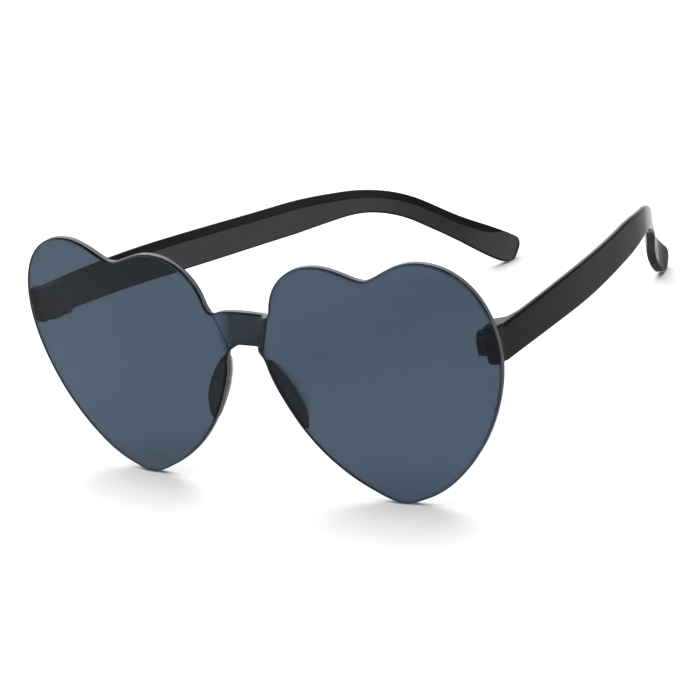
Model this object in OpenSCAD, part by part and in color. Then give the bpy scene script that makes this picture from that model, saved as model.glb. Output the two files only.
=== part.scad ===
// Heart shaped sunglasses with a one-piece tinted front
// Millimetres. +X is the wearer's left, -Y is the way the wearer looks, +Z is up.
// The origin is under the middle of the part, on the table that the glasses stand on.

/* [Front] */
// Width over both hearts
front_w = 144; // [134:1:150]
// Height of the hearts, tip to crown
front_h = 62; // [56:1:68]
// Thickness of the tinted sheet
sheet_t = 1.9; // [1.6:0.1:2.4]
// Radius of the wrap, seen from above
wrap_r = 560; // [400:10:900]
// Narrowest distance between the two hearts
nose_gap = 12.4; // [11:0.2:14]

/* [Bridge] */
// Height of the bridge's upper edge above the table
bridge_top = 46.1; // [45:0.1:48]
// Height of the bridge's lower edge above the table
bridge_low = 37.4; // [36:0.2:39]
// How far the bridge stands behind the hearts
bridge_back = 2; // [1.5:0.1:3.6]
// Half the width of the bridge's flat middle
bridge_flat_w = 3.6; // [3:0.1:4.6]
// Radius of the bends beside the bridge
bend_r = 3; // [2.6:0.1:3.6]

/* [Nose pads] */
// Height of a pad's upper end above the table
pad_top = 34.8; // [32:0.2:36]
// Height of a pad's lower end above the table
pad_low = 17.5; // [14:0.5:20]
// How far a pad stands behind the sheet
pad_reach = 4.8; // [4:0.2:6]
// Width of a pad's foot on the sheet
pad_foot_w = 5.8; // [4.6:0.2:6.6]
// How far a pad's rim leans out from the nose
pad_lean = 2.8; // [2:0.2:3.4]

/* [Temples] */
// Length of a temple along its middle line
temple_len = 163; // [150:1:168]
// Distance of a temple's outer face inside the hearts' widest point, at the joint
temple_inset = 0.6; // [0.4:0.1:1.4]
// Height of a temple at the joint
temple_h = 8.8; // [8.2:0.1:9.6]
// Height of a temple at its fullest
temple_full_h = 9.5; // [8.6:0.1:10.4]
// Height of a temple at the waist over the ear
temple_waist_h = 6.3; // [5.6:0.1:7]
// Height of a temple near its tip
temple_tip_h = 8.2; // [7:0.1:9]
// Thickness of a temple
temple_t = 2.8; // [2.4:0.1:3.2]
// Thickness of a temple at the waist and tip
temple_tip_t = 2.5; // [2.2:0.1:2.8]
// Width of the bevel along the inner upper edge
bevel_w = 1.4; // [0.8:0.1:1.6]
// Depth of the bevel along the inner upper edge
bevel_h = 1.9; // [0.8:0.1:2.2]

/* [Hinges] */
// Thickness of an end plate at its outer side, from the sheet back to the joint
plate_t = 2; // [1.6:0.1:3]
// Gap between an end plate and its open temple
joint_gap = 0.1; // [0.05:0.05:0.2]
// Height of an end plate
plate_h = 9.1; // [8.6:0.1:9.8]
// Width of an end plate
plate_w = 3.6; // [3:0.1:4.4]
// Width of the boss that holds a hinge leaf
boss_w = 4.7; // [4.2:0.1:5]
// Length of the boss along the temple
boss_len = 3.6; // [3.4:0.1:5]
// Distance of a hinge pin inward from a temple's outer face
pin_inset = 7.4; // [7:0.1:8.4]
// Distance from an end plate's rear face to a hinge pin
pin_back = 2.1; // [2:0.05:2.4]
// Height of the hinge, over its three knuckles
hinge_h = 4.3; // [3.8:0.1:5]
// Distance of the hinge's middle below the temple's middle line
hinge_drop = 0.7; // [0:0.1:1.4]
// Outer radius of a knuckle
knuckle_r = 1.3; // [1.2:0.05:1.4]
// Thickness of a hinge leaf
leaf_t = 1; // [0.8:0.1:1.2]
// Radius of the hinge screw
screw_r = 0.6; // [0.5:0.05:0.7]
// Radius of the screw's head
screw_head_r = 1.1; // [0.9:0.05:1.2]
// Height of the screw's head
screw_head_h = 0.55; // [0.4:0.05:0.7]

/* [Hidden] */

// Steps in each curve of the front's outline, in each bend and along the wrap
curve_steps = 10;
bend_steps = 8;
wrap_steps = 20;
// Facets on round metal pieces
round_fn = 48;
// Length by which every cut runs past what it cuts
overrun = 2;

// Outline of one heart. Each row is one curve: two handles and the point it ends at.
// The first number is a share of the heart's width, from the nose side out.
// The second is a share of its height, from the tip up.
heart_w = (front_w - nose_gap) / 2;
crown_start_share = [0.058, 0.784];
heart_curve_shares = [
    [[0.079, 0.881], [0.161, 0.968], [0.29, 0.968]],
    [[0.377, 0.968], [0.441, 0.919], [0.492, 0.919]],
    [[0.535, 0.919], [0.617, 1], [0.72, 1]],
    [[0.884, 1], [1, 0.862], [1, 0.653]],
    [[1, 0.516], [0.933, 0.348], [0.853, 0.242]],
    [[0.784, 0.148], [0.701, 0.067], [0.602, 0.029]],
    [[0.56, 0.013], [0.535, 0], [0.505, 0]],
    [[0.471, 0], [0.429, 0.018], [0.385, 0.042]],
    [[0.249, 0.108], [0.143, 0.216], [0.079, 0.337]],
    [[0.041, 0.408], [0.011, 0.474], [0, 0.532]],
];

// Shares of the half gap at which the bridge's edges turn into the hearts
half_gap = nose_gap / 2;
upper_turn_share = [0.5, 0.79, 1.08, 1.37, 1.53];
lower_turn_share = [0.9, 0.68, 0.32];
// Dip of the bridge's upper edge beside each heart
edge_dip = bridge_top * 0.0064;

// Plan of the sheet: the middle of its thickness turns back, turns out, then follows the wrap
middle_r = wrap_r - sheet_t / 2;
bend_angle = acos(1 - bridge_back / (2 * bend_r));
wrap_from = asin((bridge_flat_w + 2 * bend_r * sin(bend_angle)) / (middle_r - bend_r));
wrap_to = asin((front_w / 2 + overrun) / middle_r);
bridge_y = wrap_r - middle_r * cos(wrap_from)
    + bend_r * (1 + cos(wrap_from) - 2 * cos(bend_angle));

// Middle line of a temple, seen from above: shares of its length, and how far it turns in
plan_share = [0, 0.3, 0.6, 0.8, 1];
plan_angle = [5, 13, 18, 31.5, 23.5];
plan_len = temple_len * 0.933;
// Middle line of a temple, seen from the side: shares of its length, and how far it dips
side_share = [0, 0.25, 0.5, 0.63, 0.79, 1];
side_angle = [2.5, 6.5, 5.5, 8, 35.5, 36.5];
// Height of a temple along its length
height_share = [0, 0.3, 0.5, 0.7, 0.84, 0.95, 1];
height_at = [temple_h, temple_full_h, temple_full_h * 0.965,
             temple_waist_h + (temple_full_h - temple_waist_h) * 0.1, temple_waist_h,
             temple_tip_h, temple_tip_h];
thick_share = [0, 0.45, 0.77, 1];
thick_at = [temple_t, temple_t, temple_tip_t, temple_tip_t];
// Lengths over which the boss and the bevel run out
boss_fade = boss_len * 0.6;
bevel_fade = boss_len * 2;
corner_r = temple_t * 0.25;
small_r = temple_t * 0.08;
front_round = temple_t * 0.5;
tip_r = temple_tip_h / 2;
knee = side_share[3] * temple_len;
drop_end = side_share[4] * temple_len;
body_start = boss_len + boss_fade;
temple_steps = concat(
    [for (f = [-0.3, 0, 0.06, 0.15, 0.27, 0.4, 0.7, 1]) boss_len * f],
    [for (i = [1 : 4]) boss_len + boss_fade * i / 4],
    [for (i = [1 : 24]) body_start + (knee - body_start) * i / 24],
    [for (i = [1 : 12]) knee + (drop_end - knee) * i / 12],
    [for (i = [1 : 8]) drop_end + (temple_len - tip_r - drop_end) * i / 8],
    [for (a = [20, 38, 54, 68, 79, 86]) temple_len - tip_r + tip_r * sin(a)]);

// A temple's outer face and its hinge pin, from the middle plane
temple_x = front_w / 2 - temple_inset;
pin_x = temple_x - pin_inset;
// Rear face of the end plates, behind the wrap of the sheet at that place
joint_y = wrap_r - sqrt(pow(wrap_r - sheet_t, 2) - pow(temple_x, 2)) + plate_t;

// The temple's tip comes down to the table, which gives the height of the joint
low_ring = temple_rings(0);
temple_z = -min([for (ring = low_ring) for (p = ring) p[2]]);
front_y = wrap_r * (1 - cos(wrap_from));
middle_y = (front_y + max([for (ring = low_ring) for (p = ring) p[1]])) / 2;
plate_z = temple_z + (plate_h - temple_h) * 1.3;

hinge_z = temple_z - hinge_drop;
pin_y = joint_y + pin_back;
bore_gap = 0.05;
knuckle_gap = 0.05;
knuckle_h = (hinge_h - 2 * knuckle_gap) / 3;
leaf_end = temple_x - plate_w * 0.35;
leaf_clear = knuckle_r * 0.15;
leaf_from = pin_x + knuckle_r * 0.25;
slot_w = screw_r * 0.5;

// Points of one cubic curve, without its first point
function curve(a, b, c, d) =
    [for (i = [1 : curve_steps]) let(t = i / curve_steps, u = 1 - t)
        u * u * u * a + 3 * u * u * t * b + 3 * u * t * t * c + t * t * t * d];

// A run of curves from a first point; each row is two handles and an end
function run(start, rows) =
    concat([start], [for (i = [0 : len(rows) - 1])
        let(from = i == 0 ? start : rows[i - 1][2])
        each curve(from, rows[i][0], rows[i][1], rows[i][2])]);

// A share of the heart as a point of the left half
function heart_point(share) = [half_gap + share[0] * heart_w, share[1] * front_h];
function heart_rows(from, to) =
    [for (i = [from : to]) [for (share = heart_curve_shares[i]) heart_point(share)]];
function reversed(list) = [for (i = [len(list) - 1 : -1 : 0]) list[i]];
function mirrored(list) = [for (p = list) [-p[0], p[1]]];

// Outline of the left half of the front, from the bridge's top round to its underside
function front_half() =
    let(u = half_gap * upper_turn_share, l = half_gap * lower_turn_share,
        waist_z = heart_point(heart_curve_shares[9][2])[1])
    concat(
        run([0, bridge_top], concat(
            [[[u[0], bridge_top], [u[1], bridge_top - edge_dip / 2], [u[2], bridge_top - edge_dip]],
             [[u[3], bridge_top - edge_dip * 1.75], [u[4], bridge_top + edge_dip / 4],
              heart_point(crown_start_share)]],
            heart_rows(0, 9),
            [[[l[0], (waist_z + 4 * bridge_low) / 5], [l[1], bridge_low], [l[2], bridge_low]]])),
        [[0, bridge_low]]);

// One face of the sheet seen from above, at a distance behind the middle of its thickness
function sheet_line(back) =
    concat(
        [for (i = [0 : bend_steps]) let(a = bend_angle * i / bend_steps)
            [bridge_flat_w + (bend_r + back) * sin(a), bridge_y - bend_r + (bend_r + back) * cos(a)]],
        [for (i = [1 : bend_steps]) let(a = -bend_angle + (bend_angle + wrap_from) * i / bend_steps)
            [bridge_flat_w + 2 * bend_r * sin(bend_angle) + (bend_r - back) * sin(a),
             bridge_y - bend_r + 2 * bend_r * cos(bend_angle) - (bend_r - back) * cos(a)]],
        [for (i = [1 : wrap_steps]) let(a = wrap_from + (wrap_to - wrap_from) * i / wrap_steps)
            [(middle_r - back) * sin(a), wrap_r - (middle_r - back) * cos(a)]]);

module upright(points, h) {
    rotate([90, 0, 0]) linear_extrude(height = h, center = true) polygon(points);
}

module front() {
    outline = front_half();
    face = sheet_line(-sheet_t / 2);
    rear = sheet_line(sheet_t / 2);
    color([0.3, 0.36, 0.42, 0.75]) intersection() {
        upright(concat(outline, reversed(mirrored(outline))), front_h);
        translate([0, 0, -overrun]) linear_extrude(height = front_h + 2 * overrun)
            polygon(concat(reversed(face), mirrored(face), reversed(mirrored(rear)), rear));
    }
}

// Space behind the left half of the sheet, whose near side is the sheet's own rear face
module behind_sheet(depth) {
    rear = sheet_line(sheet_t / 2);
    translate([0, 0, -overrun]) linear_extrude(height = front_h + 2 * overrun)
        polygon(concat(rear, [[front_w / 2 + overrun, depth], [0, depth], [0, rear[0][1]]]));
}

// Values along a list of stations: even steps, or eased ones
function station(list, t, i = 0) = i >= len(list) - 2 || t <= list[i + 1] ? i : station(list, t, i + 1);
function between(list, values, t) =
    let(i = station(list, t), f = (t - list[i]) / (list[i + 1] - list[i]))
    values[i] + (values[i + 1] - values[i]) * f;
function ease(f) = f <= 0 ? 0 : f >= 1 ? 1 : (1 - cos(180 * f)) / 2;
function eased(list, values, t) =
    let(i = station(list, t), f = (t - list[i]) / (list[i + 1] - list[i]))
    values[i] + (values[i + 1] - values[i]) * ease(f);

// Place on a line whose direction changes evenly between stations: [across, along]
function swing(from, to, length) =
    abs(to - from) < 0.001 ? length * [-sin(from), cos(from)]
    : length / ((to - from) * PI / 180) * [cos(to) - cos(from), sin(to) - sin(from)];
function line_at(share, turn, length, d, i = 0, place = [0, 0]) =
    let(start = share[i] * length, end = share[i + 1] * length)
    i >= len(share) - 2 || d <= end
        ? place + swing(turn[i], turn[i] + (turn[i + 1] - turn[i]) * (d - start) / (end - start), d - start)
        : line_at(share, turn, length, d, i + 1, place + swing(turn[i], turn[i + 1], end - start));

// Section of a temple: distance in from its outer face, and height from its middle
function temple_section(d, h, t, n0) =
    let(bevel = ease((d - boss_len) / bevel_fade) * ease((temple_len - d) / bevel_fade),
        sr = min(small_r, h / 12),
        bw = sr + (bevel_w - sr) * bevel * t / temple_t,
        bh = sr + (bevel_h - sr) * bevel * min(1, h / temple_waist_h),
        r = min(corner_r, h / 4),
        top = h / 2)
    [[-n0, -top + r], [-n0, top - r],
     [-n0 - r * (1 - cos(30)), top - r + r * sin(30)],
     [-n0 - r * (1 - cos(60)), top - r + r * sin(60)],
     [-n0 - r, top],
     [-t + bw + sr, top], [-t + bw - sr / 2, top - sr / 3],
     [-t + sr / 3, top - bh + sr / 2], [-t, top - bh - sr],
     [-t, -top + r],
     [-t + r * (1 - cos(30)), -top + r - r * sin(30)],
     [-t + r * (1 - cos(60)), -top + r - r * sin(60)],
     [-t + r, -top],
     [-n0 - r, -top],
     [-n0 - r * (1 - cos(60)), -top + r - r * sin(60)],
     [-n0 - r * (1 - cos(30)), -top + r - r * sin(30)]];

function temple_ring(d, z0) =
    let(share = d / temple_len,
        past = max(0, d - temple_len + tip_r) / tip_r,
        close = sqrt(1 - past * past),
        h = eased(height_share, height_at, share) * close,
        body_t = eased(thick_share, thick_at, share),
        boss = 1 - ease((d - boss_len) / boss_fade),
        t = (body_t + (boss_w - body_t) * boss) * (0.45 + 0.55 * close),
        start = max(0, front_round - max(d, 0)),
        n0 = front_round - sqrt(front_round * front_round - start * start) + body_t * 0.25 * (1 - close),
        side = line_at(side_share, side_angle, temple_len, d),
        dip = between(side_share, side_angle, share))
    [for (p = temple_section(d, h, t, n0))
        let(s = side[1] + p[1] * sin(dip),
            plan = line_at(plan_share, plan_angle, plan_len, s),
            turn = between(plan_share, plan_angle, s / plan_len))
        [temple_x + plan[0] + p[0] * cos(turn),
         joint_y + joint_gap + plan[1] + p[0] * sin(turn),
         z0 + side[0] + p[1] * cos(dip)]];

function temple_rings(z0) = [for (d = temple_steps) temple_ring(d, z0)];

// Skin of a loft through rings of equal count, closed at both ends
module loft(rings) {
    n = len(rings[0]);
    m = len(rings);
    polyhedron(
        points = [for (ring = rings) each ring],
        faces = concat(
            [[for (i = [0 : n - 1]) i]],
            [for (k = [0 : m - 2]) for (i = [0 : n - 1]) let(j = (i + 1) % n)
                each [[k * n + i, (k + 1) * n + i, (k + 1) * n + j],
                      [k * n + i, (k + 1) * n + j, k * n + j]]],
            [[for (i = [n - 1 : -1 : 0]) (m - 1) * n + i]]),
        convexity = 6);
}

// Slot for a leaf's full-height part; the leaf fills it
module temple_leaf_block(from) {
    translate([from, pin_y - leaf_t / 2, hinge_z - hinge_h / 2])
        cube([leaf_end - from, leaf_t, hinge_h]);
}

module front_leaf_block() {
    translate([leaf_from, joint_y - leaf_t, hinge_z - hinge_h / 2])
        cube([leaf_end - leaf_from, leaf_t, hinge_h]);
}

module temple() {
    color([0.1, 0.1, 0.11]) difference() {
        loft(temple_rings(temple_z));
        translate([0, joint_y + joint_gap - temple_h, 0]) cube([front_w, temple_h, front_h]);
        temple_leaf_block(temple_x - boss_w - overrun);
    }
}

// Outline of the plate between a lens and its temple, with rounded corners
function end_plate_points() =
    let(x0 = temple_x - plate_w, x1 = temple_x, z0 = plate_z - plate_h / 2, z1 = plate_z + plate_h / 2,
        corners = [[x1, z0, corner_r, 270], [x1, z1, corner_r, 0],
                   [x0, z1, small_r, 90], [x0, z0, corner_r, 180]],
        sx = [-1, -1, 1, 1], sz = [1, -1, -1, 1])
    [for (k = [0 : 3]) for (i = [0 : 4]) let(c = corners[k], a = c[3] + 90 * i / 4)
        [c[0] + sx[k] * c[2] + c[2] * cos(a), c[1] + sz[k] * c[2] + c[2] * sin(a)]];

module end_plate() {
    color([0.1, 0.1, 0.11]) difference() {
        intersection() {
            upright(end_plate_points(), front_h);
            behind_sheet(joint_y);
        }
        front_leaf_block();
    }
}

module bore(z, h) {
    translate([pin_x, pin_y, z - overrun])
        cylinder(h = h + 2 * overrun, r = screw_r + bore_gap, $fn = round_fn);
}

module knuckle(z) {
    translate([pin_x, pin_y, z]) cylinder(h = knuckle_h, r = knuckle_r, $fn = round_fn);
}

module front_hinge() {
    low = hinge_z - hinge_h / 2;
    high = hinge_z + hinge_h / 2 - knuckle_h;
    color([0.72, 0.72, 0.74]) difference() {
        union() {
            front_leaf_block();
            for (z = [low, high]) {
                knuckle(z);
                translate([leaf_from, joint_y - leaf_t, z])
                    cube([pin_x + knuckle_r - leaf_from, pin_back + leaf_t, knuckle_h]);
            }
        }
        bore(low, hinge_h);
    }
}

module temple_hinge() {
    low = hinge_z - knuckle_h / 2;
    clear = pin_x + knuckle_r + leaf_clear;
    color([0.72, 0.72, 0.74]) difference() {
        union() {
            knuckle(low);
            translate([pin_x, pin_y - leaf_t / 2, low])
                cube([clear - pin_x + leaf_clear, leaf_t, knuckle_h]);
            temple_leaf_block(clear);
        }
        bore(low, knuckle_h);
    }
}

module hinge_screw() {
    low = hinge_z - hinge_h / 2;
    color([0.6, 0.6, 0.62]) translate([pin_x, pin_y, 0]) difference() {
        union() {
            translate([0, 0, low]) cylinder(h = hinge_h + screw_head_h / 2, r = screw_r, $fn = round_fn);
            translate([0, 0, low + hinge_h]) cylinder(h = screw_head_h, r = screw_head_r, $fn = round_fn);
        }
        translate([-2 * screw_head_r, -slot_w / 2, low + hinge_h + screw_head_h / 2])
            cube([4 * screw_head_r, slot_w, screw_head_h]);
    }
}

// A nose pad: foot on the sheet along the heart's inner edge, rim leaning out behind it
pad_steps = 14;
pad_edge = run(heart_point(heart_curve_shares[7][2]), heart_rows(8, 9));
function edge_x(z, i = 0) =
    i >= len(pad_edge) - 2 || z <= pad_edge[i + 1][1]
        ? pad_edge[i][0] + (pad_edge[i + 1][0] - pad_edge[i][0])
            * (z - pad_edge[i][1]) / (pad_edge[i + 1][1] - pad_edge[i][1])
        : edge_x(z, i + 1);

function pad_ring(f) =
    let(z = (pad_top + pad_low) / 2 + f * (pad_top - pad_low) / 2,
        full = 0.08 + 0.92 * pow(1 - min(f * f, 1), 0.85),
        x = edge_x(min(z, pad_edge[len(pad_edge) - 1][1])) - sheet_t * 0.3 * full,
        w = pad_foot_w * (0.12 + 0.88 * full), r = pad_reach * full, l = pad_lean * full)
    [[x, 0, z], [x + w, 0, z], [x + w, sheet_t, z],
     [x + w * 0.78, sheet_t + r * 0.5, z], [x + l + w * 0.16, sheet_t + r * 0.86, z],
     [x + l + w * 0.1, sheet_t + r * 0.98, z], [x + l + w * 0.02, sheet_t + r, z],
     [x + l - w * 0.04, sheet_t + r * 0.92, z], [x + l * 0.42, sheet_t + r * 0.5, z], [x, sheet_t, z]];

module nose_pad() {
    color([0.35, 0.36, 0.4, 0.8]) intersection() {
        loft([for (i = [0 : pad_steps]) pad_ring(-cos(180 * i / pad_steps))]);
        behind_sheet(front_h);
    }
}

module placed(side) {
    translate([0, -middle_y, 0]) mirror([side == "left" ? 0 : 1, 0, 0]) children();
}

placed("left") front();
placed("left") nose_pad();  // nose_pad_left
placed("right") nose_pad();  // nose_pad_right
placed("left") end_plate();  // end_plate_left
placed("right") end_plate();  // end_plate_right
placed("left") front_hinge();  // front_hinge_left
placed("right") front_hinge();  // front_hinge_right
placed("left") hinge_screw();  // hinge_screw_left
placed("right") hinge_screw();  // hinge_screw_right
placed("left") temple();  // temple_left
placed("right") temple();  // temple_right
placed("left") temple_hinge();  // temple_hinge_left
placed("right") temple_hinge();  // temple_hinge_right
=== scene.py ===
import math
import bmesh
import bpy
from mathutils import Matrix, Vector
from mathutils.geometry import interpolate_bezier


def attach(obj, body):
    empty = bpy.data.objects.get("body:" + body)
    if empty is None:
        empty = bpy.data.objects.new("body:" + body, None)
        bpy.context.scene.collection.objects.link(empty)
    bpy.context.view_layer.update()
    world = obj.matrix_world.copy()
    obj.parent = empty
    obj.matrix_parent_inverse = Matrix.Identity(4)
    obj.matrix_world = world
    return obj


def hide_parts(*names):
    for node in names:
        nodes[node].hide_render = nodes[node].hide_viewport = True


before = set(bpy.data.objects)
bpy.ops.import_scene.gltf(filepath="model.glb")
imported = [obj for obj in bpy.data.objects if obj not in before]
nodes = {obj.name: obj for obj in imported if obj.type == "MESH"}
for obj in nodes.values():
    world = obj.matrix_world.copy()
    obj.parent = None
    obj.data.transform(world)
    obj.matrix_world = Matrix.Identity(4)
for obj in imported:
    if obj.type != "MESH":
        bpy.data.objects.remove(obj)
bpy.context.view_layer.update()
scene = bpy.context.scene
sides = ("left", "right")  # the wearer's own left and right
frontBack = -.07707  # where the front's face stands along Y
print("frame loaded:", len(nodes), "nodes")

# camera, the same angle as the photo
shot = {"yaw": 39.13, "tilt": 69.26, "roll": -10.66, "place": (.4557, -.597, .2938),
        "lens": 157.37, "sensor": 36, "clipStart": .02}
camData = bpy.data.cameras.new("camera")
camData.lens = shot["lens"]
camData.sensor_width = shot["sensor"]
camData.clip_start = shot["clipStart"]
camera = bpy.data.objects.new("camera", camData)
scene.collection.objects.link(camera)
yaw, tilt, roll = (math.radians(shot[key]) for key in ("yaw", "tilt", "roll"))
turn = Matrix.Rotation(yaw, 4, "Z") @ Matrix.Rotation(tilt, 4, "X")
turn = turn @ Matrix.Rotation(roll, 4, "Z")  # roll goes on last, about the view line
camera.matrix_world = Matrix.Translation(shot["place"]) @ turn
scene.camera = camera
scene.view_settings.view_transform = "Standard"
print("camera done")


# shader nodes that the studio and the materials both use
def newTree(tree):
    tree.nodes.clear()
    return tree.nodes, tree.links


def mathNode(ns, ls, operation, *values):
    n = ns.new("ShaderNodeMath")
    n.operation = operation
    for socket, value in zip(n.inputs, values):
        if isinstance(value, float):
            socket.default_value = value
        else:
            ls.new(value, socket)
    return n.outputs[0]


def remap(ns, ls, value, source=(0, 1), target=(0, 1), smooth=False):
    n = ns.new("ShaderNodeMapRange")
    n.interpolation_type = "SMOOTHSTEP" if smooth else "LINEAR"
    n.inputs["From Min"].default_value, n.inputs["From Max"].default_value = source
    n.inputs["To Min"].default_value, n.inputs["To Max"].default_value = target
    ls.new(value, n.inputs["Value"])
    return n.outputs[0]


def mixColour(ns, ls, factor, a, b):
    n = ns.new("ShaderNodeMix")
    n.data_type = "RGBA"
    ls.new(factor, n.inputs["Factor"])
    for socket, value in ((n.inputs[6], a), (n.inputs[7], b)):  # 6 and 7 are the colour sockets
        if isinstance(value, tuple):
            socket.default_value = (*value, 1)
        else:
            ls.new(value, socket)
    return n.outputs[2]


# studio: a bright panel back left, a pale table glow low on the right, a darker room elsewhere
# each ring is a run of (heading in degrees, brightness) at one height of the room
lowRing = ((-180, .2), (-150, .2), (-135, .27), (-120, .34), (-95, .3), (-60, .2), (-45, .3),
           (-38, 1.05), (-27, 1), (-18, .85), (-8, .38), (4, .25), (32, .24), (47, .9),
           (62, 1.05), (85, 1.05), (103, .75), (130, .3), (180, .2))
highRing = ((-180, .2), (-120, .25), (-85, .8), (-60, 1.15), (-30, 1.1), (-14, .4),
            (-2, .07), (12, .05), (28, .09), (70, .14), (135, .18), (180, .2))
topRing = ((-180, .14), (-120, .12), (-80, .6), (-55, 1), (-30, .9), (-8, .15),
           (12, .05), (38, .09), (56, .3), (72, .7), (110, .75), (180, .14))
studio = {"under": (.08, .08, .08), "ceiling": (.07, .07, .07), "strength": 2,
          "lowFrom": (-.75, -.5), "highFrom": (-.04, .16), "topFrom": (.42, .6),
          "ceilingFrom": (.8, .93)}
world = bpy.data.worlds.new("studio")
scene.world = world
world.use_nodes = True
wn, wl = newTree(world.node_tree)
where = wn.new("ShaderNodeTexCoord")
split = wn.new("ShaderNodeSeparateXYZ")
wl.new(where.outputs["Generated"], split.inputs[0])
heading = mathNode(wn, wl, "ARCTAN2", split.outputs["X"], split.outputs["Y"])
around = remap(wn, wl, heading, (-math.pi, math.pi))


def ringRamp(stops):
    n = wn.new("ShaderNodeValToRGB")
    n.color_ramp.interpolation = "EASE"
    parts = n.color_ramp.elements
    for k, (angle, level) in enumerate(stops):
        spot = (angle + 180) / 360
        part = parts[0] if k == 0 else parts[-1] if k == len(stops) - 1 else parts.new(spot)
        part.position = spot
        grey = level / studio["strength"]  # kept low here, so that nothing is clipped
        part.color = (grey, grey, grey, 1)
    wl.new(around, n.inputs[0])
    return n.outputs["Color"]


def stack(below, above, heights):
    rise = remap(wn, wl, split.outputs["Z"], heights, smooth=True)
    return mixColour(wn, wl, rise, below, above)


dome = stack(studio["under"], ringRamp(lowRing), studio["lowFrom"])
dome = stack(dome, ringRamp(highRing), studio["highFrom"])
dome = stack(dome, ringRamp(topRing), studio["topFrom"])
dome = stack(dome, studio["ceiling"], studio["ceilingFrom"])
glow = wn.new("ShaderNodeBackground")
glow.inputs["Strength"].default_value = studio["strength"]
worldOut = wn.new("ShaderNodeOutputWorld")
wl.new(dome, glow.inputs["Color"])
wl.new(glow.outputs[0], worldOut.inputs["Surface"])

softbox = {"size": 3, "power": 68, "place": (-.3, .3, 1.7)}
boxLight = bpy.data.lights.new("softbox", "AREA")
boxLight.shape = "DISK"
boxLight.size = softbox["size"]
boxLight.energy = softbox["power"]
boxObj = bpy.data.objects.new("softbox", boxLight)
scene.collection.objects.link(boxObj)
boxObj.location = softbox["place"]
boxObj.rotation_euler = (-Vector(softbox["place"])).to_track_quat("-Z", "Y").to_euler()
boxObj.visible_glossy = False
print("lights done")


def objectCoords(ns):
    return ns.new("ShaderNodeTexCoord").outputs["Object"]


def splitCoords(ns, ls):
    n = ns.new("ShaderNodeSeparateXYZ")
    ls.new(objectCoords(ns), n.inputs[0])
    return n.outputs


def noise(ns, ls, coords, scale, detail, stretch=(1, 1, 1)):
    place = ns.new("ShaderNodeMapping")
    place.inputs["Scale"].default_value = stretch
    ls.new(coords, place.inputs["Vector"])
    n = ns.new("ShaderNodeTexNoise")
    n.inputs["Scale"].default_value = scale
    n.inputs["Detail"].default_value = detail
    ls.new(place.outputs[0], n.inputs["Vector"])
    return n.outputs[0]


# smudges, hairline scratches and a faint ripple, out as a roughness, a mask and a normal
marks = {"smudgeScale": 90, "smudgeFrom": (.42, .68),
         "hairScale": 700, "hairStretch": (1, .04, .3),
         "crossScale": 900, "crossStretch": (.3, .3, .03), "scratchFrom": (.36, .46),
         "rippleScale": 260, "rippleDepth": .00003}


def makeHandling():
    g = bpy.data.node_groups.new("handling", "ShaderNodeTree")
    for name in ("Smooth", "Worn", "Ripple"):
        g.interface.new_socket(name, in_out="INPUT", socket_type="NodeSocketFloat")
    for name, kind in (("Roughness", "Float"), ("Smudge", "Float"), ("Normal", "Vector")):
        g.interface.new_socket(name, in_out="OUTPUT", socket_type="NodeSocket" + kind)
    ns, ls = newTree(g)
    gin = ns.new("NodeGroupInput")
    gout = ns.new("NodeGroupOutput")
    coords = objectCoords(ns)
    hair = noise(ns, ls, coords, marks["hairScale"], detail=2, stretch=marks["hairStretch"])
    cross = noise(ns, ls, coords, marks["crossScale"], detail=2, stretch=marks["crossStretch"])
    scratch = remap(ns, ls, mathNode(ns, ls, "MULTIPLY", hair, cross), marks["scratchFrom"])
    cloud = noise(ns, ls, coords, marks["smudgeScale"], detail=4)
    smudge = remap(ns, ls, cloud, marks["smudgeFrom"])
    rough = ns.new("ShaderNodeMix")
    ls.new(mathNode(ns, ls, "MAXIMUM", scratch, smudge), rough.inputs["Factor"])
    ls.new(gin.outputs["Smooth"], rough.inputs["A"])
    ls.new(gin.outputs["Worn"], rough.inputs["B"])
    bump = ns.new("ShaderNodeBump")
    bump.inputs["Distance"].default_value = marks["rippleDepth"]
    ls.new(gin.outputs["Ripple"], bump.inputs["Strength"])
    ls.new(noise(ns, ls, coords, marks["rippleScale"], detail=2), bump.inputs["Height"])
    ls.new(rough.outputs["Result"], gout.inputs["Roughness"])
    ls.new(smudge, gout.inputs["Smudge"])
    ls.new(bump.outputs[0], gout.inputs["Normal"])
    return g


handling = makeHandling()


def newMaterial(name, settings):
    m = bpy.data.materials.new(name)
    m.use_nodes = True
    ns, ls = newTree(m.node_tree)
    out = ns.new("ShaderNodeOutputMaterial")
    skin = ns.new("ShaderNodeBsdfPrincipled")
    ls.new(skin.outputs[0], out.inputs["Surface"])
    for key, value in settings.items():
        skin.inputs[key].default_value = value
    return m, ns, ls, skin


def addHandling(ns, ls, skin, look):
    h = ns.new("ShaderNodeGroup")
    h.node_tree = handling
    h.inputs["Smooth"].default_value = look["smooth"]
    h.inputs["Worn"].default_value = look["worn"]
    h.inputs["Ripple"].default_value = look["ripple"]
    ls.new(h.outputs["Roughness"], skin.inputs["Roughness"])
    if look["ripple"] > 0:
        ls.new(h.outputs["Normal"], skin.inputs["Normal"])
    return h.outputs["Smudge"]


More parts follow.
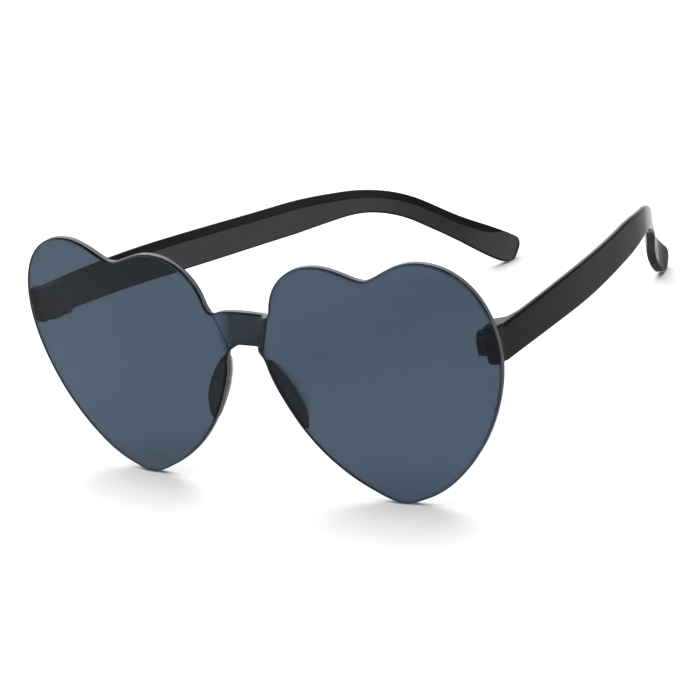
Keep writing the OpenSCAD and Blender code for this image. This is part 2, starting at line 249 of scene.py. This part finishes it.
# the sheet's three finishes: its faces, the polished rounding at its rim, tinted much darker as
# painted shade, and the cut edge between
sheetTone = {"ior": 1.58, "lowLightTo": .045, "bridgeTo": (.0038, .0078), "smudge": .12}
# each look's bridge colour is painted shade, darker across the set-back nose bridge
faceLook = {"lens": (.047, .07, .1), "low": (.053, .077, .114), "bridge": (.0118, .0176, .023),
            "smooth": 0, "worn": .012, "ripple": 0, "through": 1}
# painted shade: the rounding's tint is far darker than the faces, standing in for the dark look of
# light passing through the rim
rimShadeLook = {"lens": (.014, .019, .027), "low": (.014, .019, .027), "bridge": (.003, .004, .005),
           "smooth": .03, "worn": .08, "ripple": .08, "through": 1}
cutLook = {"lens": (.2, .195, .23), "low": (.2, .195, .23), "bridge": (.16, .16, .18),
           "smooth": .12, "worn": .25, "ripple": .1, "through": .4}


def makeTinted(name, look):
    settings = {"Transmission Weight": look["through"], "IOR": sheetTone["ior"]}
    m, ns, ls, skin = newMaterial(name, settings)
    smudge = addHandling(ns, ls, skin, look)
    at = splitCoords(ns, ls)
    # painted light: the face tint turns lighter towards the bottom, offsetting the shade on the
    # floor seen through it; smudges dull the tint towards that same lighter colour
    rise = remap(ns, ls, at["Z"], (0, sheetTone["lowLightTo"]), smooth=True)
    base = mixColour(ns, ls, rise, look["low"], look["lens"])
    # painted shade: the tint darkens towards the nose, across the bridge set back between its
    # bends
    fromNose = mathNode(ns, ls, "ABSOLUTE", at["X"])
    outward = remap(ns, ls, fromNose, sheetTone["bridgeTo"], smooth=True)
    base = mixColour(ns, ls, outward, look["bridge"], base)
    dull = mathNode(ns, ls, "MULTIPLY", smudge, sheetTone["smudge"])
    ls.new(mixColour(ns, ls, dull, base, look["low"]), skin.inputs["Base Color"])
    return m


plasticLook = {"ior": 1.5, "smooth": .03, "worn": .09, "ripple": .06,
               "dark": (.0055, .0055, .006), "pale": (.0085, .0085, .009)}


def makePlastic():
    m, ns, ls, skin = newMaterial("blackPlastic", {"IOR": plasticLook["ior"]})
    smudge = addHandling(ns, ls, skin, plasticLook)
    base = mixColour(ns, ls, smudge, plasticLook["dark"], plasticLook["pale"])
    ls.new(base, skin.inputs["Base Color"])
    return m


padLook = {"ior": 1.49, "smooth": .22, "worn": .34, "ripple": .1, "cloudScale": 120,
           "dark": (.04, .038, .044), "pale": (.055, .053, .06), "finLight": (.4, .39, .42),
           "finLightFrom": (.0014, .0046), "alpha": (.93, .13)}


def makePadPlastic():
    m, ns, ls, skin = newMaterial("padPlastic", {"IOR": padLook["ior"]})
    addHandling(ns, ls, skin, padLook)
    finLight = tuple(frontBack + y for y in padLook["finLightFrom"])  # the pad thins away from its foot, and its tint turns pale there as painted light
    thin = remap(ns, ls, splitCoords(ns, ls)["Y"], finLight, smooth=True)
    cloud = noise(ns, ls, objectCoords(ns), padLook["cloudScale"], detail=3)
    smoke = mixColour(ns, ls, cloud, padLook["dark"], padLook["pale"])
    # painted light: the pale tint stands in for light glowing through the thin plastic
    ls.new(mixColour(ns, ls, thin, smoke, padLook["finLight"]), skin.inputs["Base Color"])
    ls.new(remap(ns, ls, thin, target=padLook["alpha"]), skin.inputs["Alpha"])
    return m


metalLook = {"dark": (.1, .1, .105), "pale": (.2, .2, .21), "rough": (.24, .46), "anisotropic": .4,
             "grainScale": 2600, "grainStretch": (1, 1, .05), "bump": .2, "bumpDepth": .00002}


def makeMetal():
    settings = {"Metallic": 1, "Anisotropic": metalLook["anisotropic"]}
    m, ns, ls, skin = newMaterial("hingeMetal", settings)
    grain = noise(ns, ls, objectCoords(ns), metalLook["grainScale"], detail=2,
                  stretch=metalLook["grainStretch"])
    ls.new(remap(ns, ls, grain, target=metalLook["rough"]), skin.inputs["Roughness"])
    base = mixColour(ns, ls, grain, metalLook["dark"], metalLook["pale"])
    ls.new(base, skin.inputs["Base Color"])
    bump = ns.new("ShaderNodeBump")
    bump.inputs["Strength"].default_value = metalLook["bump"]
    bump.inputs["Distance"].default_value = metalLook["bumpDepth"]
    ls.new(grain, bump.inputs["Height"])
    ls.new(bump.outputs[0], skin.inputs["Normal"])
    return m


tintedSheet = makeTinted("tintedSheet", faceLook)
shadedPolishedRim = makeTinted("shadedPolishedRim", rimShadeLook)
edgeCore = makeTinted("edgeCore", cutLook)
blackPlastic = makePlastic()
padPlastic = makePadPlastic()
hingeMetal = makeMetal()
print("materials done")


def finishMesh(bm, name, mats, body, replaced):
    me = bpy.data.meshes.new(name)
    bm.to_mesh(me)
    bm.free()
    for m in mats:
        me.materials.append(m)
    me.shade_smooth()
    ob = bpy.data.objects.new(name, me)
    scene.collection.objects.link(ob)
    even = ob.modifiers.new("evenNormals", "WEIGHTED_NORMAL")
    even.weight = 80
    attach(ob, body)
    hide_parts(*replaced)


def cutAll(bm, place, normal, **options):
    everything = bm.verts[:] + bm.edges[:] + bm.faces[:]
    return bmesh.ops.bisect_plane(bm, geom=everything, dist=1e-7, plane_co=place,
                                  plane_no=normal, **options)


# front: a flat outline with rings inset at its rim, cut across, given its thickness and
# then moved point by point onto the wrapped face, whose bridge is set back between two bends
sheet = {"gap": .0062, "width": .0657, "height": .062, "thick": .0019, "wrap": .55905,
         "top": .0461, "low": .0374, "dipShare": .0064,
         "setBack": .002, "bend": .0017, "rampWidth": .0031, "rampAt": (.0061, .0379),
         "lean": .37, "leanAbove": .0012, "frontRound": .00058, "rearRound": .0004,
         "roundShare": .97, "curveSteps": 17, "bendSteps": 24, "wrapCuts": (9, 70, 2),
         "probe": .00002}
frontRings, rearRings = (.08, .25, .85, 1), (.7, 1)  # shares of the two roundings

# outline points: shares of the heart's width and height, of the gap and the bridge's dip,
# and of the gap and the rise from the bridge to the heart's waist
crownStart = (.058, .784)
heartCurves = (
    ((.079, .881), (.161, .968), (.29, .968)),
    ((.377, .968), (.441, .919), (.492, .919)),
    ((.535, .919), (.617, 1), (.72, 1)),
    ((.884, 1), (1, .862), (1, .653)),
    ((1, .516), (.933, .348), (.853, .242)),
    ((.784, .148), (.701, .067), (.602, .029)),
    ((.56, .013), (.535, 0), (.505, 0)),
    ((.471, 0), (.429, .018), (.385, .042)),
    ((.249, .108), (.143, .216), (.079, .337)),
    ((.041, .408), (.011, .474), (0, .532)))
bridgeTop = ((.5, 0), (.79, -.5), (1.08, -1), (1.37, -1.75), (1.53, .25))
bridgeFoot = ((.9, .2), (.68, 0), (.32, 0))


def heartPoint(share):
    return Vector((sheet["gap"] + share[0] * sheet["width"], 0, share[1] * sheet["height"]))


def heartRows(first=0):
    return [[heartPoint(share) for share in row] for row in heartCurves[first:]]


def bezierRun(start, rows):
    pts = [start]
    for a, b, end in rows:
        pts += interpolate_bezier(pts[-1], a, b, end, sheet["curveSteps"])[1:]
    return pts


def halfOutline():
    gap, top, low = sheet["gap"], sheet["top"], sheet["low"]
    dip = top * sheet["dipShare"]
    rise = heartPoint(heartCurves[-1][2]).z - low
    crest = [Vector((gap * x, 0, top + dip * z)) for x, z in bridgeTop]
    foot = [Vector((gap * x, 0, low + rise * z)) for x, z in bridgeFoot]
    rows = [crest[:3], crest[3:] + [heartPoint(crownStart)]] + heartRows() + [foot]
    return bezierRun(Vector((0, 0, top)), rows) + [Vector((0, 0, low))]


def setBackAt(x, z):
    height = min(z, sheet["top"] + sheet["leanAbove"])
    edge = sheet["rampAt"][0] + sheet["lean"] * (height - sheet["rampAt"][1])
    f = min(1, max(0, (edge - abs(x)) / sheet["rampWidth"]))
    side = min(f, 1 - f) * sheet["rampWidth"]
    curl = sheet["bend"] - math.sqrt(sheet["bend"] ** 2 - side * side)  # two arcs, one each way
    return curl if f < .5 else sheet["setBack"] - curl


def middleY(x, z):
    wrap = sheet["wrap"] - math.sqrt(sheet["wrap"] ** 2 - x * x)
    return sheet["thick"] / 2 + wrap + setBackAt(x, z)


def sheetCuts():
    first, last, pitch = sheet["wrapCuts"]  # mm, upright cuts for the wrap
    cuts = [((x / 1000, 0, 0), (1, 0, 0)) for x in range(-last, last + 1, pitch) if abs(x) > first]
    for i in range(sheet["bendSteps"] + 1):  # slanted cuts through both bends
        x = sheet["rampAt"][0] - sheet["rampWidth"] * i / sheet["bendSteps"]
        cuts += [((s * x, 0, sheet["rampAt"][1]), (1, 0, -s * sheet["lean"])) for s in (-1, 1)]
    return cuts


def onSheet(v, behind, radius, depth):
    # the point's place on the wrapped face, out along the face's own normal
    x, z, step = v.co.x, v.co.z, sheet["probe"]
    slopeX = (middleY(x + step, z) - middleY(x - step, z)) / (2 * step)
    slopeZ = (middleY(x, z + step) - middleY(x, z - step)) / (2 * step)
    turned = radius - min(radius, depth)
    half = sheet["thick"] / 2 - radius + math.sqrt(radius * radius - turned * turned)
    out = Vector((-slopeX, 1, -slopeZ)).normalized() * half
    return Vector((x, frontBack + middleY(x, z), z)) + (out if behind else -out)


def makeFront():
    bm = bmesh.new()
    half = halfOutline()
    ring = half + [Vector((-p.x, 0, p.z)) for p in reversed(half[1:-1])]
    flat = bm.faces.new([bm.verts.new(p) for p in ring])
    fromRim = bm.verts.layers.float.new("fromRim")  # how far in from the rim a point lies
    big, small = sheet["frontRound"], sheet["rearRound"]
    depth = 0
    for nextDepth in sorted([big * s for s in frontRings] + [small * s for s in rearRings]):
        bmesh.ops.inset_region(bm, faces=[flat], thickness=nextDepth - depth, depth=0,
                               use_even_offset=True, use_boundary=True)
        depth = nextDepth
        for v in flat.verts:
            v[fromRim] = depth
    for place, normal in sheetCuts():
        cutAll(bm, place, normal)
    made = bmesh.ops.extrude_face_region(bm, geom=bm.faces[:], use_keep_orig=True)
    rear = set(v for v in made["geom"] if isinstance(v, bmesh.types.BMVert))
    for f in bm.faces:
        reach = sum(v[fromRim] for v in f.verts) / len(f.verts)
        behind = [v in rear for v in f.verts]
        if any(behind) and not all(behind):
            f.material_index = 2  # the cut edge
        elif reach < (small if behind[0] else big) * sheet["roundShare"]:
            f.material_index = 1  # the rounding
    for v in bm.verts:
        behind = v in rear
        v.co = onSheet(v, behind, small if behind else big, v[fromRim])
    bmesh.ops.recalc_face_normals(bm, faces=bm.faces)
    bmesh.ops.triangulate(bm, faces=[f for f in bm.faces if len(f.verts) > 4])
    finishMesh(bm, "lensSheet", [tintedSheet, shadedPolishedRim, edgeCore], "front",
               ["front"])


makeFront()
print("front done")


def smoothRun(pts, steps):
    # curve through every point of an open run
    run = []
    ends = [pts[0] * 2 - pts[1]] + pts + [pts[-1] * 2 - pts[-2]]
    for i in range(len(pts) - 1):
        a, b, c, d = ends[i:i + 4]
        run += interpolate_bezier(b, b + (c - a) / 6, c - (d - b) / 6, c, steps)[:-1]
    return run + [pts[-1]]


def loft(bm, rings):
    # the end face is drawn on from ring to ring, and the open start is filled
    # each ring runs backwards, which settles how the long faces split into triangles
    cap = bm.faces.new([bm.verts.new(p) for p in reversed(rings[0])])
    start = cap.edges[:]
    for ring in rings[1:]:
        cap = bmesh.ops.extrude_discrete_faces(bm, faces=[cap])["faces"][0]
        for v, p in zip(cap.verts, reversed(ring)):
            v.co = p
    bmesh.ops.holes_fill(bm, edges=start)


def flip(bm):
    bmesh.ops.scale(bm, vec=(-1, 1, 1), verts=bm.verts)
    bmesh.ops.reverse_faces(bm, faces=bm.faces)


# nose pads: fins along the hearts' inner edges, fullest at mid height
pad = {"top": .0348, "low": .0175, "reach": .0048, "foot": .0058, "lean": .0028, "swell": .85,
       "leastShare": .08, "leastFootShare": .12, "tuckShare": .3, "seat": .00002,
       "rings": 30, "curveSteps": 5}
finSection = ((0, 1, 0), (0, .78, .5), (1, .16, .86), (1, .1, .98), (1, .02, 1), (1, -.04, .92),
              (.42, 0, .5), (0, 0, 0))  # shares of the lean and the foot across, of the reach back


def innerEdge(z, edge):
    # how far out the heart's edge lies at one height
    for p, q in zip(edge, edge[1:]):
        if z <= q.z:
            return p.x + (q.x - p.x) * (z - p.z) / (q.z - p.z)
    return edge[-1].x


def padRing(f, edge):
    z = (pad["top"] + pad["low"]) / 2 + f * (pad["top"] - pad["low"]) / 2
    least, leastFoot = pad["leastShare"], pad["leastFootShare"]
    full = least + (1 - least) * max(0, 1 - f * f) ** pad["swell"]
    x = innerEdge(z, edge) - sheet["thick"] * pad["tuckShare"] * full
    y = middleY(x, 0) + sheet["thick"] / 2 + pad["seat"]
    foot = pad["foot"] * (leastFoot + (1 - leastFoot) * full)
    lean, reach = pad["lean"] * full, pad["reach"] * full
    pts = [Vector((x + lean * a + foot * b, frontBack + (y + reach * c), z))
           for a, b, c in finSection]
    return smoothRun(pts, pad["curveSteps"])


def makePad(side):
    edge = bezierRun(heartPoint(heartCurves[7][2]), heartRows(8))  # up from the heart's foot
    turns = [math.pi * i / pad["rings"] for i in range(pad["rings"] + 1)]
    bm = bmesh.new()
    loft(bm, [padRing(-math.cos(t), edge) for t in turns])
    bmesh.ops.recalc_face_normals(bm, faces=bm.faces)
    if side == "right":
        flip(bm)
    finishMesh(bm, "nosePad_" + side, [padPlastic], "front",
               ["nose_pad_" + side])


for side in sides:
    makePad(side)
print("nose pads done")


# temples: one section swept along a line that turns in and drops
arm = {"length": .1632, "outer": .0714, "start": .008586, "lift": .04137,
       "thick": .0028, "tipThick": .0025, "frontRound": .0003, "tipRound": (.0032, .0068),
       "joint": .0088, "full": .0095, "waist": .0063, "tip": .0082,
       "bossWidth": .0047, "bossLength": .0036, "bossFade": .6,
       "bevelWidth": .0014, "bevelDepth": .0019, "plainEnd": .0075,
       "fullEnd": .95, "waistStart": .99, "planShare": .933,
       "tipThinShare": .45, "tipLeanShare": .25}
armEdge = {"keen": .08, "keenLimit": 1 / 12, "corner": .25, "cornerLimit": 1 / 4,
           "upper": 1.5, "upperRoom": .6, "upperLimit": 1 / 3,
           "soft": 1.6}  # shares of the thickness, with limits as shares of the height
armSteps = {"boss": (-.3, -.12, 0, .03, .06, .1, .15, .2, .27, .34, .4, .55, .7, .85, 1),
            "fade": 8, "run": 96, "tip": (10, 20, 30, 38, 46, 54, 61, 68, 74, 79, 83, 86, 88),
            "corner": 5, "upper": 7, "bevel": 4}

# shares of the length, and the angles in degrees, heights and thicknesses there
planShare, planAngle = (0, .3, .6, .79, .87, 1), (5, 13, 17, 30, 38, 11)
sideShare, sideAngle = (0, .25, .5, .63, .79, 1), (2.5, 6.5, 5, 7, 37.5, 38)
heightShare = (0, .3, .5, .7, .84, .95, 1)
heightAt = (arm["joint"], arm["full"], arm["full"] * arm["fullEnd"],
            arm["waist"] * arm["waistStart"], arm["waist"], arm["tip"], arm["tip"])
thickShare = (0, .45, .77, 1)
thickAt = (arm["thick"], arm["thick"], arm["tipThick"], arm["tipThick"])


def ease(f):
    return (1 - math.cos(math.pi * min(1, max(0, f)))) / 2


def station(shares, t):
    i = 0
    while i < len(shares) - 2 and t > shares[i + 1]:
        i += 1
    return i, (t - shares[i]) / (shares[i + 1] - shares[i])


def between(shares, values, t, eased=False):
    i, f = station(shares, t)
    return values[i] + (values[i + 1] - values[i]) * (ease(f) if eased else f)


def swing(a, b, length):
    # how far an arc gets whose direction turns evenly from a to b degrees
    a, b = math.radians(a), math.radians(b)
    if abs(b - a) < 1e-5:
        return Vector((-math.sin(a), math.cos(a))) * length
    return Vector((math.cos(b) - math.cos(a), math.sin(b) - math.sin(a))) * (length / (b - a))


def lineAt(shares, turns, length, d):
    last, f = station(shares, d / length)
    place = Vector((0, 0))
    for i in range(last):
        place += swing(turns[i], turns[i + 1], (shares[i + 1] - shares[i]) * length)
    turned = turns[last] + (turns[last + 1] - turns[last]) * f
    return place + swing(turns[last], turned, d - shares[last] * length)


def arc(cx, cy, r, a, b, steps):
    turns = [math.radians(a + (b - a) * i / steps) for i in range(steps + 1)]
    return [(cx + r * math.cos(t), cy + r * math.sin(t)) for t in turns]


def armSection(d, h, t, nose):
    # h high and t thick, bevelled at the inner upper edge and rounder at the outer one
    run = arm["bossLength"] * 2
    bevel = ease((d - arm["bossLength"]) / run)
    bevel *= ease((arm["length"] - arm["plainEnd"] - d) / run)
    keen = min(arm["thick"] * armEdge["keen"], h * armEdge["keenLimit"])
    wide = keen + (arm["bevelWidth"] - keen) * bevel * t / arm["thick"]
    deep = keen + (arm["bevelDepth"] - keen) * bevel * min(1, h / arm["waist"])
    top = h / 2
    r = min(arm["thick"] * armEdge["corner"], h * armEdge["cornerLimit"])
    big = min(r * armEdge["upper"], (t - wide) * armEdge["upperRoom"], h * armEdge["upperLimit"])
    upper, lower = Vector((-t + wide, top)), Vector((-t, top - deep))
    soft = keen * armEdge["soft"]
    along = Vector((wide, deep)).normalized() * soft
    bevelLine = interpolate_bezier(upper + Vector((soft, 0)), upper, upper, upper - along,
                                   armSteps["bevel"])
    bevelLine += interpolate_bezier(lower + along, lower, lower, lower - Vector((0, soft)),
                                    armSteps["bevel"])
    return (arc(-nose - big, top - big, big, 0, 90, armSteps["upper"])
            + [tuple(p) for p in bevelLine]
            + arc(-t + r, -top + r, r, 180, 270, armSteps["corner"])
            + arc(-nose - r, -top + r, r, 270, 360, armSteps["corner"]))


def armRing(d):
    share = d / arm["length"]
    full = between(heightShare, heightAt, share, True) / 2
    above, below = (full * math.sqrt(1 - (max(0, d - arm["length"] + r) / r) ** 2)
                    for r in arm["tipRound"])
    close = (above + below) / 2 / full  # 1 along the arm, down to 0 as the tip closes
    h = above + below
    body = between(thickShare, thickAt, share, True)
    boss = 1 - ease((d - arm["bossLength"]) / (arm["bossLength"] * arm["bossFade"]))
    thin = arm["tipThinShare"] + (1 - arm["tipThinShare"]) * close
    t = (body + (arm["bossWidth"] - body) * boss) * thin
    rounding = arm["frontRound"]
    start = max(0, rounding - max(d, 0))
    nose = rounding - math.sqrt(rounding ** 2 - start ** 2)
    nose += body * arm["tipLeanShare"] * (1 - close)
    sideAt = lineAt(sideShare, sideAngle, arm["length"], d)
    dip = math.radians(between(sideShare, sideAngle, share))
    planLength = arm["length"] * arm["planShare"]
    ring = []
    for across, up in armSection(d, h, t, nose):
        up += (above - below) / 2
        s = sideAt.y + up * math.sin(dip)
        plan = lineAt(planShare, planAngle, planLength, s)
        yaw = math.radians(between(planShare, planAngle, s / planLength))
        ring.append(Vector((arm["outer"] + plan.x + across * math.cos(yaw),
                            frontBack + arm["start"] + plan.y + across * math.sin(yaw),
                            arm["lift"] + sideAt.x + up * math.cos(dip))))
    return ring


def armStations():
    n, boss, tipR = arm["length"], arm["bossLength"], max(arm["tipRound"])
    fade, run = armSteps["fade"], armSteps["run"]
    bossEnd = boss * (1 + arm["bossFade"])
    steps = [boss * f for f in armSteps["boss"]]
    steps += [boss * (1 + arm["bossFade"] * i / fade) for i in range(1, fade + 1)]
    steps += [bossEnd + (n - tipR - bossEnd) * i / run for i in range(1, run + 1)]
    return steps + [n - tipR + tipR * math.sin(math.radians(a)) for a in armSteps["tip"]]


def makeTemple(side):
    rings = [armRing(d) for d in armStations()]
    print("temple tip at", round(1000 * min(p.z for ring in rings for p in ring), 2), "mm")
    bm = bmesh.new()
    loft(bm, rings)
    face = cutAll(bm, (0, frontBack + arm["start"], 0), (0, -1, 0), clear_outer=True)
    mouth = [e for e in face["geom_cut"] if isinstance(e, bmesh.types.BMEdge)]
    bmesh.ops.holes_fill(bm, edges=mouth)
    bmesh.ops.recalc_face_normals(bm, faces=bm.faces)
    if side == "right":
        flip(bm)
    finishMesh(bm, "templeArm_" + side, [blackPlastic], "temple_" + side,
               ["temple_" + side])


for side in sides:
    makeTemple(side)
print("temples done")


# carried-over nodes: each one's finish and how far its edges are broken
carried = {"end_plate_": (blackPlastic, .00018), "front_hinge_": (hingeMetal, .00006),
           "temple_hinge_": (hingeMetal, .00006), "hinge_screw_": (hingeMetal, .00005)}


def dress(name, mat, bevelWidth):
    ob = nodes[name]
    for s in ob.material_slots:
        s.material = mat
    weld = ob.modifiers.new("weld", "WELD")
    weld.merge_threshold = 1e-6
    soft = ob.modifiers.new("softEdges", "BEVEL")
    soft.width = bevelWidth
    soft.segments = 2
    soft.limit_method = "ANGLE"
    soft.angle_limit = math.radians(40)


for name, (mat, bevelWidth) in carried.items():
    for side in sides:
        dress(name + side, mat, bevelWidth)
print("hinges and plates done")

# floor
table = {"radius": 6, "corners": 96, "roughness": .8, "grainScale": 3,
         "dark": (.9, .9, .9), "pale": (.93, .93, .93)}
settings = {"Roughness": table["roughness"], "Specular IOR Level": 0}
floorMat, fn, fl, floorSkin = newMaterial("paleFloor", settings)
grain = noise(fn, fl, objectCoords(fn), table["grainScale"], detail=3)
fl.new(mixColour(fn, fl, grain, table["dark"], table["pale"]), floorSkin.inputs["Base Color"])
bm = bmesh.new()
bmesh.ops.create_circle(bm, cap_ends=True, radius=table["radius"], segments=table["corners"])
floorMesh = bpy.data.meshes.new("floor")
bm.to_mesh(floorMesh)
bm.free()
floorMesh.materials.append(floorMat)
floor = bpy.data.objects.new("floor", floorMesh)
scene.collection.objects.link(floor)
floor.visible_glossy = False
print("floor done")
